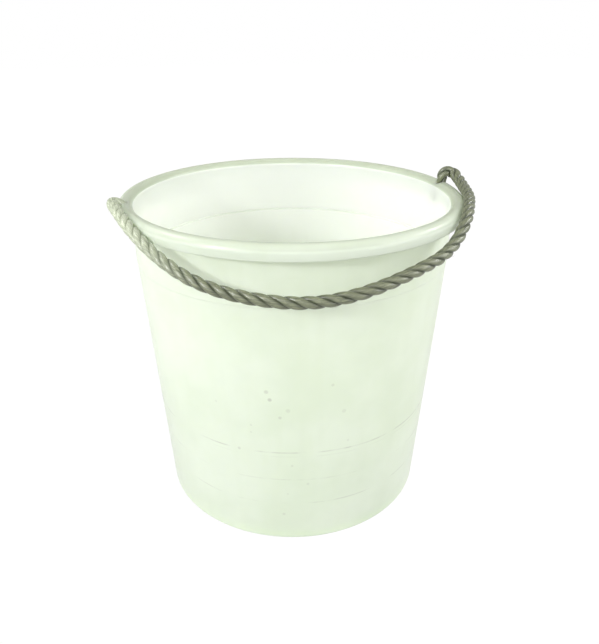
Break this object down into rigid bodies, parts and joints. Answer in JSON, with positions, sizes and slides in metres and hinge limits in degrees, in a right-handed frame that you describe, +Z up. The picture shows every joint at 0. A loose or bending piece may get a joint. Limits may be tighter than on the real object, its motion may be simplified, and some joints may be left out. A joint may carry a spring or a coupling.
{
  "type": "florist bucket",
  "caption": "Tapered translucent white plastic bucket with a rolled rim and a laid rope handle threaded through holes in the rim, for holding cut flowers in water.",
  "frame": {"origin": "on the table, in the middle of the base's foot ring", "axes": "+Z up along the bucket's axis; X through the rope's two holes in the rim; the rope handle hangs on the -Y side"},
  "size_m": [0.3544, 0.334, 0.3178],
  "materials": {
    "polyethylene": "natural translucent polyethylene, satin",
    "rope": "three-strand laid rope, slightly glossy",
    "twine": "waxed whipping twine",
    "fused_end": "melted rope fibre"
  },
  "bodies": {
    "bucket": {"bucket_shell": "polyethylene", "rope_tail_right": "rope", "rope_tail_left": "rope", "rope_whipping_right": "twine", "rope_whipping_left": "twine", "rope_stopper_right": "fused_end", "rope_stopper_left": "fused_end"},
    "handle": {"handle_rope": "rope"}
  },
  "joints": [
    {"name": "handle_swing", "type": "hinge", "parent": "bucket", "child": "handle", "pos_m": [0, 0, 0.30923], "axis": [-0.9998, 0, -0.0223], "range_deg": [0, 210]}
  ]
}
